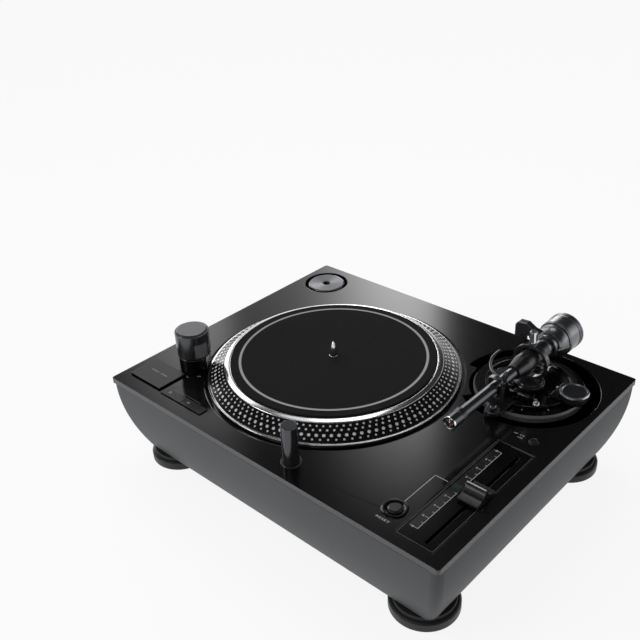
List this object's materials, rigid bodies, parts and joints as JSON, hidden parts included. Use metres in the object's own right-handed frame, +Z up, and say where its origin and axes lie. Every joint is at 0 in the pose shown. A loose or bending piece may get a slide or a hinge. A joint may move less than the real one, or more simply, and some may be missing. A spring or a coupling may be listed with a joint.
{
  "type": "turntable",
  "caption": "Direct-drive record deck with dotted strobe platter, slipmat, straight tonearm on a height collar, pitch slider, start and speed keys, pop-up light and screw feet.",
  "frame": {"origin": "middle of the bounding box at the underside of the feet, which is under the middle of the top plate", "axes": "+Z up, +X to the right along the front edge towards the pitch slider, +Y from the front edge to the rear"},
  "size_m": [0.36, 0.286, 0.146],
  "materials": {
    "black_metal": "satin black",
    "grey_shell": "fine matte dark grey",
    "black_plastic": "matte black",
    "gloss_black": "gloss black",
    "black_rubber": "matte",
    "steel": "satin",
    "bright_steel": "polished",
    "bare_aluminium": "polished and painted black between the dots",
    "felt": "black felt with a printed grey ring",
    "green_board": "solder mask",
    "copper_coil": "varnished wire",
    "iron": "dull",
    "smoked_strip": "translucent grey",
    "lens": "frosted",
    "light_grey": "satin"
  },
  "bodies": {
    "chassis": {"top_plate": "black_metal", "plinth_shell": "grey_shell", "base_cover": "black_plastic", "motor_stator": "copper_coil", "bearing_housing": "steel", "main_board": "green_board", "power_supply": "iron", "rear_panel": "black_plastic", "rca_jacks": "bright_steel", "ground_terminal": "bright_steel", "power_inlet": "gloss_black", "pitch_panel": "gloss_black", "pitch_scale_strip": "smoked_strip", "fader_body": "green_board", "lamp_tower": "black_plastic", "target_bush": "black_plastic", "reset_bezel": "black_metal", "arm_housing": "black_metal"},
    "turning_platter": {"platter": "bare_aluminium", "rotor_magnet": "iron", "spindle": "bright_steel"},
    "record_mat": {"slipmat": "felt"},
    "start_key": {"start_button": "black_plastic"},
    "key_33": {"button_33": "black_plastic"},
    "key_45": {"button_45": "black_plastic"},
    "power_dial": {"power_knob": "black_metal", "strobe_window": "lens"},
    "pop_up_light": {"target_light": "black_metal"},
    "reset_key": {"reset_button": "bright_steel"},
    "range_key": {"range_button": "bright_steel"},
    "pitch_slider": {"pitch_cap": "gloss_black"},
    "adapter": {"single_adapter": "bare_aluminium"},
    "height_collar": {"height_ring": "black_metal"},
    "arm_base": {"arm_board": "black_metal", "pivot_pedestal": "black_metal", "pivot_screw": "bright_steel", "rest_post": "light_grey", "lifter_housing": "black_metal"},
    "latch": {"rest_latch": "light_grey"},
    "lifter": {"lift_bar": "black_metal"},
    "lever": {"cue_lever": "bright_steel"},
    "skate_dial": {"anti_skate_knob": "black_metal"},
    "gimbal": {"gimbal_ring": "black_metal"},
    "tonearm": {"pivot_block": "black_metal", "arm_tube": "black_metal", "arm_socket": "copper_coil", "rear_stub": "bright_steel"},
    "collar": {"locking_collar": "black_metal"},
    "bush": {"weight_bush": "black_plastic"},
    "weight": {"counterweight": "black_metal"},
    "force_scale": {"force_dial": "black_metal"},
    "foot_front_left": {"foot_cup_front_left": "black_rubber", "foot_stud_front_left": "steel"},
    "foot_front_right": {"foot_cup_front_right": "black_rubber", "foot_stud_front_right": "steel"},
    "foot_back_left": {"foot_cup_back_left": "black_rubber", "foot_stud_back_left": "steel"},
    "foot_back_right": {"foot_cup_back_right": "black_rubber", "foot_stud_back_right": "steel"}
  },
  "joints": [
    {"name": "platter_spin", "type": "hinge", "parent": "chassis", "child": "turning_platter", "pos_m": [-0.0328, -0.0075, 0.09], "axis": [0, 0, 1], "continuous": true},
    {"name": "slipmat_slip", "type": "hinge", "parent": "turning_platter", "child": "record_mat", "pos_m": [-0.0328, -0.0075, 0.103], "axis": [0, 0, 1], "continuous": true},
    {"name": "start_press", "type": "slide", "parent": "chassis", "child": "start_key", "axis": [0, 0, -1], "range_m": [0, 0.0015], "stiffness_N_per_m": 800, "springref_m": -0.001},
    {"name": "speed_33_press", "type": "slide", "parent": "chassis", "child": "key_33", "axis": [0, 0, -1], "range_m": [0, 0.0015], "stiffness_N_per_m": 600, "springref_m": -0.001},
    {"name": "speed_45_press", "type": "slide", "parent": "chassis", "child": "key_45", "axis": [0, 0, -1], "range_m": [0, 0.0015], "stiffness_N_per_m": 600, "springref_m": -0.001},
    {"name": "power_turn", "type": "hinge", "parent": "chassis", "child": "power_dial", "pos_m": [-0.133, -0.0831, 0.115], "axis": [0, 0, 1], "range_deg": [-45, 0]},
    {"name": "target_light_pop", "type": "slide", "parent": "chassis", "child": "pop_up_light", "axis": [0, 0, 1], "range_m": [-0.031, 0]},
    {"name": "reset_press", "type": "slide", "parent": "chassis", "child": "reset_key", "axis": [0, 0, -1], "range_m": [0, 0.0015], "stiffness_N_per_m": 600, "springref_m": -0.001},
    {"name": "range_press", "type": "slide", "parent": "chassis", "child": "range_key", "axis": [0, 0, -1], "range_m": [0, 0.0015], "stiffness_N_per_m": 600, "springref_m": -0.001},
    {"name": "pitch_slide", "type": "slide", "parent": "chassis", "child": "pitch_slider", "axis": [0, 1, 0], "range_m": [-0.05, 0.05]},
    {"name": "adapter_lift", "type": "slide", "parent": "chassis", "child": "adapter", "axis": [0, 0, 1], "range_m": [0, 0.04]},
    {"name": "arm_height", "type": "slide", "parent": "chassis", "child": "arm_base", "axis": [0, 0, 1], "range_m": [0, 0.006]},
    {"name": "height_ring_turn", "type": "hinge", "parent": "chassis", "child": "height_collar", "pos_m": [0.115, 0.0764, 0.088], "axis": [0, 0, 1], "range_deg": [-0.5, 181]},
    {"name": "rest_latch_open", "type": "hinge", "parent": "arm_base", "child": "latch", "pos_m": [0.1226, 0.021, 0.1254], "axis": [0, 1, 0], "range_deg": [0, 75]},
    {"name": "arm_lift", "type": "slide", "parent": "arm_base", "child": "lifter", "axis": [0, 0, 1], "range_m": [0, 0.0018]},
    {"name": "cue_lever_turn", "type": "hinge", "parent": "arm_base", "child": "lever", "pos_m": [0.12, 0.0533, 0.0958], "axis": [1, 0, 0], "range_deg": [-51, 0.5]},
    {"name": "anti_skate_turn", "type": "hinge", "parent": "arm_base", "child": "skate_dial", "pos_m": [0.155, 0.079, 0.097], "axis": [0, 0, 1], "range_deg": [0, 270]},
    {"name": "arm_swing", "type": "hinge", "parent": "arm_base", "child": "gimbal", "pos_m": [0.115, 0.0764, 0.1145], "axis": [0, 0, 1], "range_deg": [-50, 0.7]},
    {"name": "arm_tilt", "type": "hinge", "parent": "gimbal", "child": "tonearm", "pos_m": [0.115, 0.0764, 0.113], "axis": [1, 0, 0], "range_deg": [-3.5, 1]},
    {"name": "collar_turn", "type": "hinge", "parent": "tonearm", "child": "collar", "pos_m": [0.115, -0.033, 0.1178], "axis": [0, 1, 0], "range_deg": [0, 60]},
    {"name": "weight_travel", "type": "slide", "parent": "tonearm", "child": "bush", "axis": [0, 1, 0], "range_m": [-0.0055, 0.0055]},
    {"name": "weight_turn", "type": "hinge", "parent": "bush", "child": "weight", "pos_m": [0.115, 0.12, 0.1178], "axis": [0, 1, 0], "range_deg": [-500, 500]},
    {"name": "force_dial_turn", "type": "hinge", "parent": "weight", "child": "force_scale", "pos_m": [0.115, 0.11, 0.1178], "axis": [0, 1, 0], "continuous": true},
    {"name": "foot_front_left_screw", "type": "slide", "parent": "chassis", "child": "foot_front_left", "axis": [0, 0, -1], "range_m": [0, 0.004]},
    {"name": "foot_front_right_screw", "type": "slide", "parent": "chassis", "child": "foot_front_right", "axis": [0, 0, -1], "range_m": [0, 0.004]},
    {"name": "foot_back_left_screw", "type": "slide", "parent": "chassis", "child": "foot_back_left", "axis": [0, 0, -1], "range_m": [0, 0.004]},
    {"name": "foot_back_right_screw", "type": "slide", "parent": "chassis", "child": "foot_back_right", "axis": [0, 0, -1], "range_m": [0, 0.004]}
  ],
  "couplings": [
    {"joint": "height_ring_turn", "follows": "arm_height", "rad_per_m": 523.6},
    {"joint": "cue_lever_turn", "follows": "arm_lift", "rad_per_m": -484.81},
    {"joint": "weight_turn", "follows": "weight_travel", "rad_per_m": 1570.8}
  ]
}
